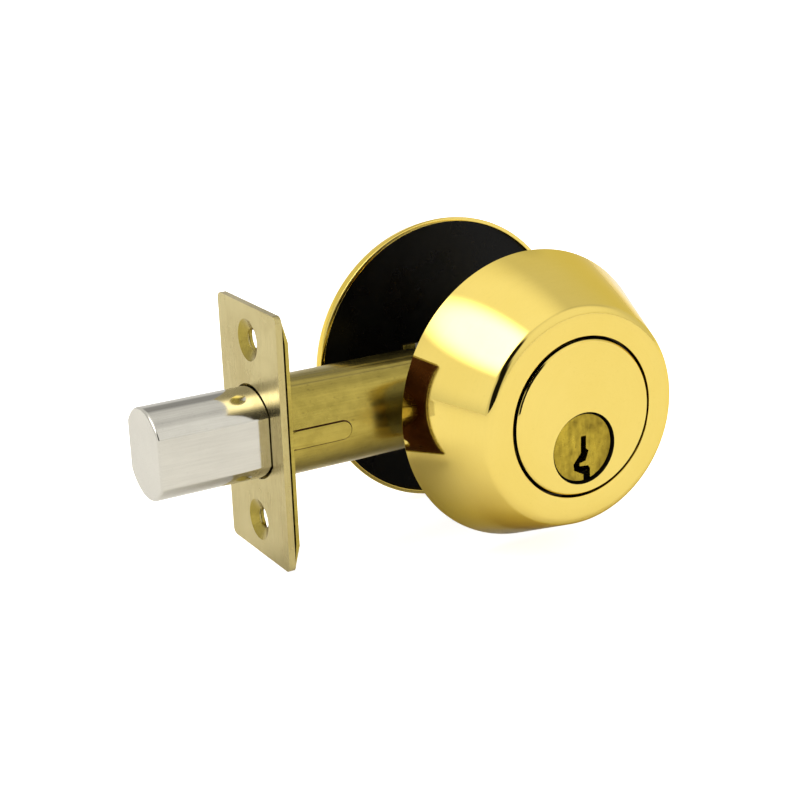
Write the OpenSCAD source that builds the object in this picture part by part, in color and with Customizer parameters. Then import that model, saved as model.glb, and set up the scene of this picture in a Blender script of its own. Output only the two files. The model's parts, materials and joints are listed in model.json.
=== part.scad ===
// Tubular deadbolt for a hinged door: keyed cylinder with a tapered guard outside,
// bolt and case inside the door, thumbturn inside the room.
// Frame: the origin is on the bolt's axis, at the centre of the cross bore, halfway
// through the door. The bolt is thrown toward -X, the key side faces -Y, +Z is up.
// The bolt is drawn thrown, which is the pose at zero of every joint.

/* [Door preparation] */
// Thickness of the door that the trims close on
door_t = 34.925; // [31.5:0.025:44.5]
// Edge of the door to the centre of the cross bore
backset = 60.325; // [58:0.025:76]

/* [Bolt] */
// Travel of the bolt
throw = 25.4; // [20:0.1:30.5]
// Diameter of the bolt's round section
bolt_d = 20.4; // [17:0.1:21.5]
// Width of the bolt across its two side flats
bolt_flats = 17.2; // [14:0.1:18]
// Bevel around the bolt's nose
bolt_bevel = 0.7; // [0.2:0.1:1.5]
// Radial room between the bolt and its tube
bolt_clear = 0.2; // [0.15:0.05:0.5]
// Diameter of the hardened pin inside the bolt
core_pin_d = 5; // [3:0.1:5.5]
// Length of the hardened pin
core_pin_len = 32; // [20:1:34]

/* [Bolt tail] */
// Thickness of the flat tail
tail_t = 2; // [1.5:0.1:2.4]
// Height of the tail's shank
tail_h = 5; // [4:0.1:5.5]
// Bottom edge of the tail above the bolt's axis
tail_z = 2; // [1.6:0.1:2.4]
// Length of the tail held in the bolt
tail_grip = 7.8; // [6:0.1:9]
// Width of each prong of the tail's fork
prong_w = 2.6; // [2:0.1:3]
// Diameter of the rivets that hold the tail
tail_rivet_d = 2.4; // [2:0.1:3]

/* [Tube and case] */
// Wall of the bolt's tube
tube_wall = 0.7; // [0.6:0.1:1]
// Width of the embossed rib along the tube
rib_w = 4; // [2:0.1:6]
// Length of the embossed rib
rib_len = 15; // [10:1:26]
// Height of the embossed rib
rib_h = 0.3; // [0.1:0.05:0.5]
// Thickness of the plate that closes the tube
end_plate_t = 1.2; // [0.8:0.1:1.6]
// Thickness of the two case plates
case_wall = 1; // [0.8:0.1:1.2]
// Room between the two case plates
case_gap = 10.4; // [9.6:0.1:11]
// Height of the case plates
case_h = 21.8; // [21.2:0.1:22]
// Diameter of the rivets that join the case plates
case_rivet_d = 3; // [2:0.1:3.4]
// Thickness of the detent leaf spring
leaf_t = 0.4; // [0.3:0.05:0.5]

/* [Face plate] */
// Width of the face plate
plate_w = 28.575; // [24:0.025:30]
// Height of the face plate
plate_h = 57.15; // [54:0.05:68]
// Thickness of the face plate
plate_t = 1.5; // [1.2:0.1:2]
// Radius of the face plate's corners
plate_corner_r = 1.5; // [0.5:0.1:4]
// Distance between the face plate's screw holes
plate_screw_span = 41.275; // [38:0.025:44]
// Diameter of the screw countersinks
countersink_d = 9.4; // [7:0.1:10]
// Thickness of the backing plate
backing_t = 0.8; // [0.6:0.1:1]
// Gap between the face plate and the backing plate
backing_gap = 0.5; // [0.3:0.1:0.8]
// Diameter of the face plate's screw holes
plate_hole_d = 4.6; // [4:0.1:5]

/* [Cylinder] */
// Height of the cylinder's axis above the bolt's axis
axis_z = 1.5; // [0.8:0.1:2]
// Distance from the cylinder's axis down to the plug's axis
plug_drop = 6.9; // [6.4:0.1:7.3]
// Diameter of the cylinder's head
head_d = 34.7; // [33.6:0.1:37]
// Diameter of the cylinder behind its shoulder
body_d = 31.4; // [31:0.1:32]
// Depth of the cylinder from its face to its back
cylinder_len = 23.26; // [22.4:0.01:24]
// How far the cylinder's face stands proud of the guard
face_proud = 0.5; // [0:0.1:1.2]
// Diameter of the key plug
plug_d = 12.7; // [12.2:0.1:12.9]
// Diameter of the flange at the front of the plug
plug_flange_d = 15.1; // [14.4:0.1:15.4]
// Thickness of the plug's flange
plug_flange_t = 1.6; // [1:0.1:2]
// How far the plug sits below the cylinder's face
plug_recess = 0.7; // [0.2:0.1:1]
// Radial running clearance of turning shafts
run_clear = 0.05; // [0.02:0.01:0.08]
// Radial gap around the plug's flange
flange_gap = 0.3; // [0.15:0.05:0.4]
// Diameter of the tumbler pins
tumbler_d = 2.9; // [2.5:0.1:3]
// Distance from one tumbler pin to the next
tumbler_pitch = 3.96; // [3.5:0.01:4.1]
// Distance from the cylinder's face to the first tumbler pin
tumbler_first = 3.9; // [3.7:0.1:4.4]
// Diameter of the spring wire above the driver pins
spring_wire_d = 0.4; // [0.3:0.05:0.5]

/* [Guard] */
// Diameter of the guard where it meets the door
guard_rear_d = 66.4; // [65:0.1:72]
// Diameter of the guard's front edge before it is rounded
guard_front_d = 48.4; // [46:0.1:52]
// Depth of the guard from the door to its front
guard_depth = 20.8; // [19.6:0.1:26]
// Wall of the guard's shell
guard_wall = 1.6; // [1:0.1:2]
// Radius of the guard's rounded front edge
guard_round = 2.6; // [1:0.1:4]
// Radial gap between the cylinder's head and the guard
guard_gap = 0.5; // [0.3:0.05:0.8]
// Thickness of the lip rolled in at the back of the guard
guard_lip_t = 0.9; // [0.6:0.1:1.2]

/* [Turning train] */
// Angle that the thumbturn moves through
turn_angle = 90; // [80:1:100]
// Diameter of the crank's pin
crank_pin_d = 4.4; // [4:0.1:4.6]
// Room on each side of the crank pin in the fork
fork_clear = 0.75; // [0.6:0.05:0.9]
// Diameter of the crank's hub
hub_d = 8.4; // [7.6:0.1:8.6]
// Diameter of the crank's journals
journal_d = 6.8; // [6.4:0.1:7.4]
// Width of the flat tailpiece
blade_w = 4.4; // [4:0.1:4.6]
// Thickness of the flat tailpiece
blade_t = 1.5; // [1.2:0.1:1.8]
// Play around the tailpiece in its slots
blade_play = 0.1; // [0.05:0.05:0.15]

/* [Inside trim] */
// Diameter of the rosette
rosette_d = 69; // [66:0.1:74]
// Depth of the rosette from the door to its top
rosette_depth = 8; // [7:0.1:10]
// Wall of the rosette
rosette_wall = 0.9; // [0.7:0.1:1.2]
// Radius of the rosette's rounded shoulder
rosette_round = 4.8; // [3:0.1:5]
// Thickness of the mounting plate
mount_plate_t = 1.2; // [1:0.1:1.6]
// How far the mounting plate stands back from the door
mount_plate_inset = 1.3; // [0.8:0.1:1.8]
// Length of the thumbturn's grip
grip_len = 31; // [26:0.5:36]
// Thickness of the thumbturn's grip
grip_t = 7.4; // [5:0.1:8.5]
// Height of the thumbturn above the rosette
grip_h = 17; // [14:0.5:20]
// Diameter of the thumbturn's base
turn_base_d = 18.6; // [16:0.1:19]
// Diameter of the thumbturn's spindle
spindle_d = 8; // [7.4:0.1:9]
// Diameter of the spindle's stud inside the thumbturn
spindle_stud_d = 5; // [4:0.1:5.4]

/* [Mounting screws] */
// Diameter of the two long machine screws
screw_d = 4; // [3:0.1:4.2]
// Distance from the centre line to each machine screw
screw_x = 14; // [13.8:0.1:14.1]
// Height of the machine screws from the bolt's axis
screw_z = -1.2; // [-1.6:0.1:-0.8]
// Diameter of the cylinder's threaded posts
post_d = 6; // [5.6:0.1:6.2]
// Diameter of the machine screws' heads
screw_head_d = 7.6; // [6.6:0.1:8]
// Thread held in each post
screw_grip = 7; // [5:0.5:9]

/* [Hidden] */
$fn = 96;
TUMBLERS = 5;
BITTING = [4.1, 3.4, 4.6, 3.0, 3.8];

eps = 0.01;
over = 1;
half_door = door_t / 2;
plug_z = axis_z - plug_drop;

// Crank and fork: the pin swings half the turn to each side of straight up.
crank_r = throw / 2 / sin(turn_angle / 2);
pin_r = crank_pin_d / 2;
pin_low_z = plug_z + crank_r * cos(turn_angle / 2);
pin_reach = 0.5;
fork_half = pin_r + fork_clear + prong_w;
fork_top_gap = 0.2;
fork_top_z = plug_z + crank_r - fork_top_gap;
fork_floor_gap = 0.6;
fork_floor_z = pin_low_z - pin_r - fork_floor_gap;
arm_gap = 0.4;
arm_y0 = tail_t / 2 + arm_gap;
arm_t = 2.5;
arm_y1 = arm_y0 + arm_t;
arm_tip_wall = 1.4;
arm_tip_r = pin_r + arm_tip_wall;
arm_taper = 0.2;

// Places along the bolt's axis, from the crank outward.
fork_end_gap = 0.55;
bolt_end_gap = 0.6;
end_plate_x1 = -throw / 2 - fork_half - fork_end_gap;
end_plate_x0 = end_plate_x1 - end_plate_t;
bolt_x1 = end_plate_x0 - bolt_end_gap - throw;
bolt_x0 = -backset - throw;
plate_x1 = -backset + plate_t;
backing_x0 = plate_x1 + backing_gap;
backing_x1 = backing_x0 + backing_t;
plate_land = 0.3;
plate_notch_r = 0.6;
backing_inset = 0.2;
backing_bend_drop = 6.2;
backing_end_drop = 1;
backing_turn = 0.35;
core_pin_z = -3.5;
core_pin_depth = 2;
core_pin_x1 = bolt_x1 - core_pin_depth;
core_pin_x0 = core_pin_x1 - core_pin_len;
tail_x0 = bolt_x1 - tail_grip;
tail_slot_play = 0.1;
tail_rivet_in = [2.2, 5.6];

bolt_r = bolt_d / 2;
tube_ri = bolt_r + bolt_clear;
tube_ro = tube_ri + tube_wall;
rib_setback = 0.4;
dent_r = 3;
dent_depth = 0.35;
dent_setback = 1.2;

// Case plates around the crank.
case_y0 = case_gap / 2;
case_y1 = case_y0 + case_wall;
case_end_gap = 0.75;
case_x1 = throw / 2 + fork_half + case_end_gap;
case_tab_h = 8;
case_rivet_x = 16;
case_rivet_z = -8.2;
case_rivet_head_t = 0.7;
case_rivet_rim = 0.9;
case_spacer_rim = 0.6;
hub_end_gap = 0.1;
hub_y = case_y0 - hub_end_gap;
journal_out = 0.7;
journal_y = case_y1 + journal_out;
leaf_gap = 0.3;
leaf_z1 = plug_z - hub_d / 2 - leaf_gap;
leaf_z0 = leaf_z1 - leaf_t;
leaf_half = 9;
leaf_ear = 3;

// Places along the cylinder, from the street side inward.
guard_y0 = -half_door - guard_depth;
face_y = guard_y0 - face_proud;
housing_y1 = face_y + cylinder_len;
shoulder_out = 4.5;
shoulder_y = -half_door - shoulder_out;
head_chamfer = 0.35;
plug_y0 = face_y + plug_recess;
plug_r = plug_d / 2;
stub_step = 0.45;
stub_len = 2;
plug_stub_r = plug_r - stub_step;
plug_end_gap = 0.1;
plug_y1 = housing_y1 + plug_end_gap;
stub_y1 = plug_y1 + stub_len;
cap_wall = 1.5;
cap_end_t = 1;
lug_t = 1.7;
lug_gap = 0.3;
lug_end_gap = 0.1;
tail_flange_t = 1;
cap_inner_y = stub_y1 + lug_t + lug_gap + tail_flange_t;
cap_y1 = cap_inner_y + cap_end_t;
drive_gap = 0.3;
drive_r1 = plug_stub_r - drive_gap;
drive_r0 = 3;
drive_span = 30;
drive_offset = 135;
post_gap = 0.3;
post_y1 = -case_y1 - post_gap;
keyway_end_wall = 1.1;
keyway_y1 = plug_y1 - keyway_end_wall;

// Tumbler stack above the plug.
tumbler_r = tumbler_d / 2;
chamber_play = 0.05;
chamber_r = tumbler_r + chamber_play;
bottom_pin_drop = 0.03;
bottom_pin_z1 = plug_z + sqrt(pow(plug_r, 2) - pow(tumbler_r, 2)) - bottom_pin_drop;
bottom_pin_tip = 0.8;
chamber_floor_gap = 0.15;
chamber_z0 = bottom_pin_z1 - max(BITTING) - chamber_floor_gap;
driver_rise = 0.02;
driver_z0 = plug_z + plug_r + run_clear + driver_rise;
driver_len = 4.2;
driver_chamfer = 0.15;
spring_z0 = driver_z0 + driver_len;
spring_play = 0.1;
spring_turns = 7;
spring_steps = 10;
spring_sides = 5;
chamber_cap_drop = 1.3;
cap_z0 = axis_z + body_d / 2 - chamber_cap_drop;
chamber_cap_t = 0.8;
chamber_cap_w = 5;
chamber_cap_lead = 2.6;
chamber_cap_y0 = face_y + tumbler_first - chamber_cap_lead;

// Guard: the wall is the cone offset inward, and the lip runs behind the insert.
guard_door_gap = 0.3;
guard_y1 = -half_door - guard_door_gap;
guard_hole_r = head_d / 2 + guard_gap;
guard_rf = guard_front_d / 2;
guard_rr = guard_rear_d / 2;
guard_slope = atan2(guard_rr - guard_rf, guard_y1 - guard_y0);
guard_play = 0.3;
guard_arc_steps = 10;
insert_flange_t = 2;
insert_flange_y1 = guard_y1 - guard_lip_t - guard_play;
insert_flange_y0 = insert_flange_y1 - insert_flange_t;
insert_wall = 2.5;
insert_tube_r = guard_hole_r + insert_wall;
insert_play = 0.05;
insert_ri = guard_hole_r + insert_play;
insert_lip_gap = 0.3;
insert_lip_ri = body_d / 2 + insert_lip_gap;
lip_overlap = 1;
lip_r = guard_inner_r(insert_flange_y1) - guard_play - lip_overlap;

// Inside trim, from the door into the room.
trim_y1 = half_door + rosette_depth;
trim_under_y = trim_y1 - rosette_wall;
mount_y0 = half_door + mount_plate_inset;
mount_y1 = mount_y0 + mount_plate_t;
rosette_r = rosette_d / 2;
rosette_crown = 0.6;
rosette_crown_run = 4;
rosette_arc_end = 84;
rosette_arc_steps = 10;
rosette_arc_y = trim_y1 - rosette_crown - rosette_round;
mount_plate_r = rosette_r - rosette_wall;
spindle_r = spindle_d / 2;
spindle_gap = 0.4;
spindle_y0 = mount_y1 + spindle_gap;
spindle_plate_gap = 1.5;
spindle_stud_len = 9;
turn_gap = 0.3;
turn_y0 = trim_y1 + turn_gap;
turn_base_t = 2.6;
turn_base_chamfer = 1.2;
grip_root = 0.5;
grip_crown_r = 60;
grip_taper = 5;
grip_taper_h = 8;
turn_y1 = turn_y0 + grip_h;
washer_t = 0.5;
washer_y0 = trim_under_y - washer_t;
washer_rim = 3;
washer_gap = 0.3;
clip_t = 0.6;
clip_rim = 1.8;
clip_gap = 0.1;
clip_y1 = washer_y0 - clip_gap;
clip_y0 = clip_y1 - clip_t;
clip_groove = 0.8;
clip_groove_r = spindle_r - clip_groove;
spindle_y1 = turn_y0 + spindle_stud_len;
blade_end_gap = 0.4;
blade_bore_gap = 0.3;
blade_y1 = trim_y1 - blade_end_gap;
screw_r = screw_d / 2;
screw_hole_gap = 0.3;
screw_hole_r = screw_r + screw_hole_gap;
screw_tip_y = post_y1 - screw_grip;
screw_bore_gap = 0.5;
screw_bore_y0 = screw_tip_y - screw_bore_gap;
screw_head_h = 1.9;
screw_head_slope = 1;
screw_slot_w = 1;
screw_slot_floor = 0.9;

function guard_inner_r(y) =
    guard_rf + (y - guard_y0) * tan(guard_slope) - guard_wall / cos(guard_slope);
function arc_points(cx, cy, r, a0, a1, n) =
    [for (i = [0:n]) let (a = a0 + (a1 - a0) * i / n) [cx + r * cos(a), cy + r * sin(a)]];
function tumbler_y(i) = face_y + tumbler_first + (i - 1) * tumbler_pitch;

// Extrudes an outline drawn in X and Z from y0 to y1.
module along_y(y0, y1) {
    translate([0, y1, 0]) rotate([90, 0, 0]) linear_extrude(y1 - y0) children();
}

// Extrudes an outline drawn in Y and Z from x0 to x1.
module along_x(x0, x1) {
    translate([x0, 0, 0]) rotate([90, 0, 90]) linear_extrude(x1 - x0) children();
}

// Turns a profile of radius and Y about an axis along Y at height cz.
module revolve_y(cz) {
    translate([0, 0, cz]) rotate([-90, 0, 0]) rotate_extrude() children();
}

module cyl_y(r, y0, y1, cx = 0, cz = 0) {
    translate([cx, y0, cz]) rotate([-90, 0, 0]) cylinder(r = r, h = y1 - y0);
}

module cyl_x(r, x0, x1, cy = 0, cz = 0) {
    translate([x0, cy, cz]) rotate([0, 90, 0]) cylinder(r = r, h = x1 - x0);
}

module block(x0, x1, y0, y1, z0, z1) {
    translate([x0, y0, z0]) cube([x1 - x0, y1 - y0, z1 - z0]);
}

module at_screws() {
    for (side = [-1, 1]) translate([side * screw_x, 0, screw_z]) children();
}

// Section of the bolt, grown by g: a circle with a flat on each side.
module bolt_section(g = 0) {
    intersection() {
        circle(r = bolt_r + g);
        square([bolt_flats + 2 * g, 2 * bolt_d], center = true);
    }
}

module rounded_rect(w, h, r) {
    square([w - 2 * r, h], center = true);
    square([w, h - 2 * r], center = true);
    for (sx = [-1, 1], sy = [-1, 1])
        translate([sx * (w / 2 - r), sy * (h / 2 - r)]) circle(r = r);
}

module stadium(len, wid) {
    square([len - wid, wid], center = true);
    for (side = [-1, 1]) translate([side * (len - wid) / 2, 0]) circle(d = wid);
}

module blade_slot_outline(play) {
    square([blade_w + 2 * play, blade_t + 2 * play], center = true);
}

// Slice of a ring between drive_r0 and drive_r1, centred on an angle from +X.
module drive_sector(angle) {
    far = 2 * drive_r1;
    intersection() {
        difference() {
            circle(r = drive_r1);
            circle(r = drive_r0);
        }
        rotate(angle) polygon([[0, 0], [far, -far * tan(drive_span / 2)], [far, far * tan(drive_span / 2)]]);
    }
}

module keyway_outline() {
    polygon([[-0.4, 2.6], [1, 2.6], [1, -0.4], [1.7, -1], [0.9, -3.2], [-0.7, -3.5], [-0.7, -4.2],
             [1.5, -4.4], [2.1, -5.1], [2.1, -8], [0.3, -8], [0.3, -6.3], [-1, -5.6], [-2.2, -4.9],
             [-2.4, -3.5], [-0.4, -1.2]]);
}

module guard_shell() {
    q = guard_round;
    t = q / tan((90 + guard_slope) / 2);
    outer = concat([[guard_hole_r, guard_y0]],
        arc_points(guard_rf - t, guard_y0 + q, q, -90, -guard_slope, guard_arc_steps),
        [[guard_rr, guard_y1]]);
    inner = [[lip_r, guard_y1], [lip_r, guard_y1 - guard_lip_t],
        [guard_inner_r(guard_y1 - guard_lip_t), guard_y1 - guard_lip_t],
        [guard_inner_r(guard_y0 + guard_wall), guard_y0 + guard_wall],
        [guard_hole_r, guard_y0 + guard_wall]];
    color("gold") revolve_y(axis_z) polygon(concat(outer, inner));
}

module guard_insert() {
    front = guard_y0 + guard_wall + guard_play;
    color("dimgray") difference() {
        revolve_y(axis_z) polygon([[insert_ri, front], [insert_tube_r, front],
            [insert_tube_r, insert_flange_y0],
            [guard_inner_r(insert_flange_y0) - guard_play, insert_flange_y0],
            [guard_inner_r(insert_flange_y1) - guard_play, insert_flange_y1],
            [lip_r - guard_play, insert_flange_y1], [lip_r - guard_play, -half_door],
            [insert_lip_ri, -half_door], [insert_lip_ri, shoulder_y], [insert_ri, shoulder_y]]);
        at_screws() cyl_y(post_d / 2 + post_gap, shoulder_y - over, -half_door + over);
    }
}

module cylinder_housing() {
    head_r = head_d / 2;
    color("gold") difference() {
        union() {
            revolve_y(axis_z) polygon([[0, face_y], [head_r - head_chamfer, face_y],
                [head_r, face_y + head_chamfer], [head_r, shoulder_y], [body_d / 2, shoulder_y],
                [body_d / 2, housing_y1], [0, housing_y1]]);
            at_screws() cyl_y(post_d / 2, shoulder_y, post_y1);
        }
        cyl_y(plug_r + run_clear, face_y - over, housing_y1 + over, cz = plug_z);
        cyl_y(plug_flange_d / 2 + flange_gap, face_y - over, plug_y0 + plug_flange_t, cz = plug_z);
        at_screws() cyl_y(screw_r, screw_bore_y0, post_y1 + over);
        for (i = [1:TUMBLERS]) translate([0, tumbler_y(i), plug_z])
            cylinder(r = chamber_r, h = cap_z0 - plug_z + eps);
        block(-chamber_cap_w / 2, chamber_cap_w / 2, chamber_cap_y0, housing_y1 + over,
            cap_z0, axis_z + head_d);
    }
}

module pin_chamber_cap() {
    color("goldenrod") block(-chamber_cap_w / 2, chamber_cap_w / 2, chamber_cap_y0, housing_y1,
        cap_z0, cap_z0 + chamber_cap_t);
}

module key_plug() {
    color("darkgoldenrod") difference() {
        union() {
            cyl_y(plug_flange_d / 2, plug_y0, plug_y0 + plug_flange_t, cz = plug_z);
            cyl_y(plug_r, plug_y0 + eps, plug_y1, cz = plug_z);
            cyl_y(plug_stub_r, plug_y1 - over, stub_y1, cz = plug_z);
            translate([0, 0, plug_z]) along_y(stub_y1 - eps, stub_y1 + lug_t)
                drive_sector(drive_offset);
        }
        translate([0, 0, plug_z]) along_y(plug_y0 - over, keyway_y1) keyway_outline();
        for (i = [1:TUMBLERS]) translate([0, tumbler_y(i), chamber_z0])
            cylinder(r = chamber_r, h = plug_d);
    }
}

module plug_cap() {
    color("goldenrod") difference() {
        cyl_y(plug_stub_r + cap_wall, plug_y1, cap_y1, cz = plug_z);
        cyl_y(plug_stub_r, plug_y1 - over, cap_inner_y, cz = plug_z);
        cyl_y(drive_r0, cap_inner_y - over, cap_y1 + over, cz = plug_z);
    }
}

module tumbler_pin(z0, z1, tip) {
    rotate_extrude() polygon([[0, z0], [tumbler_r - tip, z0], [tumbler_r, z0 + tip],
        [tumbler_r, z1], [0, z1]]);
}

module bottom_pin(i) {
    color("gold") translate([0, tumbler_y(i), 0])
        tumbler_pin(bottom_pin_z1 - BITTING[i - 1], bottom_pin_z1, bottom_pin_tip);
}

module driver_pin(i) {
    color("silver") translate([0, tumbler_y(i), 0]) tumbler_pin(driver_z0, spring_z0, driver_chamfer);
}

// One turn of wire after another, as rings of points that follow a helix.
module pin_spring(i) {
    wire_r = spring_wire_d / 2;
    coil_r = tumbler_r - wire_r - spring_play;
    z0 = spring_z0 + wire_r;
    z1 = cap_z0 - wire_r;
    sides = spring_sides;
    rings = spring_turns * spring_steps;
    points = [for (k = [0:rings], s = [0:sides - 1])
        let (a = 360 * k / spring_steps, b = 360 * s / sides, r = coil_r + wire_r * cos(b))
        [r * cos(a), r * sin(a), z0 + (z1 - z0) * k / rings + wire_r * sin(b)]];
    lower = [for (k = [0:rings - 1], s = [0:sides - 1])
        [k * sides + s, (k + 1) * sides + s, k * sides + (s + 1) % sides]];
    upper = [for (k = [0:rings - 1], s = [0:sides - 1]) let (n = (s + 1) % sides)
        [(k + 1) * sides + s, (k + 1) * sides + n, k * sides + n]];
    ends = [[for (s = [0:sides - 1]) s], [for (s = [0:sides - 1]) rings * sides + sides - 1 - s]];
    color("lightgray") translate([0, tumbler_y(i), 0])
        polyhedron(points, concat(lower, upper, ends));
}

module tailpiece() {
    flange_y1 = cap_inner_y - lug_end_gap;
    flange_y0 = flange_y1 - tail_flange_t;
    color("silver") translate([0, 0, plug_z]) {
        cyl_y(drive_r1, flange_y0, flange_y1);
        along_y(flange_y0 - lug_t + lug_end_gap, flange_y0 + eps) drive_sector(0);
        along_y(flange_y1 - eps, blade_y1) blade_slot_outline(0);
    }
}

module crank() {
    color("gray") translate([0, 0, plug_z]) difference() {
        union() {
            cyl_y(hub_d / 2, -hub_y, hub_y);
            cyl_y(journal_d / 2, -journal_y, journal_y);
            rotate([0, -turn_angle / 2, 0]) {
                along_y(arm_y0, arm_y1) polygon([[-hub_d / 2 + arm_taper, 0],
                    [hub_d / 2 - arm_taper, 0], [arm_tip_r - arm_taper, crank_r],
                    [-arm_tip_r + arm_taper, crank_r]]);
                cyl_y(arm_tip_r, arm_y0, arm_y1, cz = crank_r);
            }
        }
        along_y(-journal_y - over, journal_y + over) blade_slot_outline(blade_play);
        rotate([0, -turn_angle / 2, 0]) cyl_y(pin_r, arm_y0 - over, arm_y1 + over, cz = crank_r);
    }
}

module crank_pin() {
    color("silver") translate([0, 0, plug_z]) rotate([0, -turn_angle / 2, 0])
        cyl_y(pin_r, -tail_t / 2 - pin_reach, arm_y1, cz = crank_r);
}

module tail_rivet_places() {
    for (x = tail_rivet_in) translate([tail_x0 + x, 0, tail_z + tail_h / 2]) children();
}

module bolt() {
    color("lightgray") difference() {
        union() {
            along_x(bolt_x0 + bolt_bevel, bolt_x1) bolt_section();
            intersection() {
                along_x(bolt_x0, bolt_x0 + 2 * bolt_bevel) bolt_section();
                translate([bolt_x0, 0, 0]) rotate([0, 90, 0])
                    cylinder(r1 = bolt_r - bolt_bevel, r2 = bolt_r + bolt_bevel, h = 2 * bolt_bevel);
            }
        }
        cyl_x(core_pin_d / 2, core_pin_x0, bolt_x1 + over, cz = core_pin_z);
        block(tail_x0 - tail_slot_play, bolt_x1 + over, -(tail_t + tail_slot_play) / 2,
            (tail_t + tail_slot_play) / 2, tail_z - tail_slot_play, tail_z + tail_h + tail_slot_play);
        tail_rivet_places() cyl_y(tail_rivet_d / 2, -bolt_d, bolt_d);
    }
}

module bolt_core_pin() {
    color("dimgray") cyl_x(core_pin_d / 2, core_pin_x0, core_pin_x1, cz = core_pin_z);
}

module bolt_tail() {
    fork_x0 = -throw / 2 - fork_half;
    slot_half = pin_r + fork_clear;
    color("silver") difference() {
        union() {
            block(tail_x0, fork_x0 + over, -tail_t / 2, tail_t / 2, tail_z, tail_z + tail_h);
            block(fork_x0, fork_x0 + 2 * fork_half, -tail_t / 2, tail_t / 2, tail_z, fork_top_z);
        }
        block(-throw / 2 - slot_half, -throw / 2 + slot_half, -tail_t, tail_t,
            fork_floor_z, fork_top_z + over);
        tail_rivet_places() cyl_y(tail_rivet_d / 2, -tail_t, tail_t);
    }
}

module tail_rivets() {
    color("silver") tail_rivet_places() cyl_y(tail_rivet_d / 2, -bolt_flats / 2, bolt_flats / 2);
}

module bolt_tube() {
    rib_x = backing_x1 + rib_setback + rib_len / 2;
    dent_x = end_plate_x0 - dent_setback;
    color("darkkhaki") difference() {
        union() {
            cyl_x(tube_ro, plate_x1, end_plate_x1);
            intersection() {
                cyl_x(tube_ro + rib_h, plate_x1, end_plate_x1);
                translate([rib_x, 0, 0]) along_y(-tube_ro * 2, tube_ro * 2) stadium(rib_len, rib_w);
            }
        }
        cyl_x(tube_ri, plate_x1 - over, end_plate_x1 + over);
        for (side = [-1, 1]) translate([dent_x, side * (tube_ro + dent_r - dent_depth), 0])
            sphere(r = dent_r);
    }
}

module tube_end_plate() {
    color("tan") along_x(end_plate_x0, end_plate_x1) difference() {
        circle(r = tube_ri);
        for (side = [-1, 1]) translate([side * (case_y0 + case_wall / 2), 0])
            square([case_wall, case_tab_h], center = true);
        translate([0, tail_z + tail_h / 2])
            square([tail_t + 2 * arm_gap, tail_h + 2 * arm_gap], center = true);
    }
}

module at_plate_screws() {
    for (side = [-1, 1]) translate([0, 0, side * plate_screw_span / 2]) children();
}

module face_plate() {
    color("khaki") difference() {
        along_x(-backset, plate_x1) difference() {
            rounded_rect(plate_w, plate_h, plate_corner_r);
            bolt_section(bolt_clear + run_clear);
        }
        at_plate_screws() {
            cyl_x(plate_hole_d / 2, -backset - over, plate_x1 + over);
            translate([-backset - eps, 0, 0]) rotate([0, 90, 0])
                cylinder(r1 = countersink_d / 2, r2 = plate_hole_d / 2, h = plate_t - plate_land);
        }
    }
}

module backing_plate() {
    bend_z = plate_h / 2 - backing_bend_drop;
    end_z = plate_h / 2 - backing_end_drop;
    turn_z = bend_z + backing_turn;
    tip_z = end_z - backing_inset;
    color("darkkhaki") difference() {
        along_y(-plate_w / 2 + backing_inset, plate_w / 2 - backing_inset)
            polygon([[backing_x0, -bend_z], [backing_x0, bend_z], [plate_x1, tip_z],
                [plate_x1, end_z], [backing_x1, turn_z], [backing_x1, -turn_z],
                [plate_x1, -end_z], [plate_x1, -tip_z]]);
        cyl_x(tube_ro, plate_x1 - over, backing_x1 + over);
        at_plate_screws() {
            cyl_x(plate_hole_d / 2, plate_x1 - over, backing_x1 + over);
            for (a = [45:90:315]) rotate([a, 0, 0])
                cyl_x(plate_notch_r, plate_x1 - over, backing_x1 + over, cz = plate_hole_d / 2);
        }
    }
}

module case_plate(side) {
    y0 = side > 0 ? case_y0 : -case_y1;
    difference() {
        union() {
            block(end_plate_x1, case_x1, y0, y0 + case_wall, -case_h / 2, case_h / 2);
            block(end_plate_x0, end_plate_x1 + eps, y0, y0 + case_wall, -case_tab_h / 2, case_tab_h / 2);
        }
        cyl_y(journal_d / 2 + run_clear, y0 - over, y0 + case_wall + over, cz = plug_z);
        at_screws() cyl_y(screw_hole_r, y0 - over, y0 + case_wall + over);
        for (x = [-case_rivet_x, case_rivet_x])
            cyl_y(case_rivet_d / 2, y0 - over, y0 + case_wall + over, x, case_rivet_z);
        for (x = [-leaf_half, leaf_half - leaf_ear])
            block(x, x + leaf_ear, y0 - over, y0 + case_wall + over, leaf_z0, leaf_z1);
    }
}

module case_plate_outer() {
    color("darkkhaki") case_plate(-1);
}

module case_plate_inner() {
    color("darkkhaki") case_plate(1);
}

module case_rivets() {
    color("silver") for (x = [-case_rivet_x, case_rivet_x]) {
        cyl_y(case_rivet_d / 2, -case_y1 - eps, case_y1 + eps, x, case_rivet_z);
        cyl_y(case_rivet_d / 2 + case_rivet_rim, case_y1, case_y1 + case_rivet_head_t, x, case_rivet_z);
        cyl_y(case_rivet_d / 2 + case_rivet_rim, -case_y1 - case_rivet_head_t, -case_y1, x, case_rivet_z);
        cyl_y(case_rivet_d / 2 + case_spacer_rim, -case_y0, case_y0, x, case_rivet_z);
    }
}

module detent_spring() {
    color("lightgray") {
        block(-leaf_half, leaf_half, -case_y0, case_y0, leaf_z0, leaf_z1);
        for (x = [-leaf_half, leaf_half - leaf_ear])
            block(x, x + leaf_ear, -case_y1, case_y1, leaf_z0, leaf_z1);
    }
}

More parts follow.
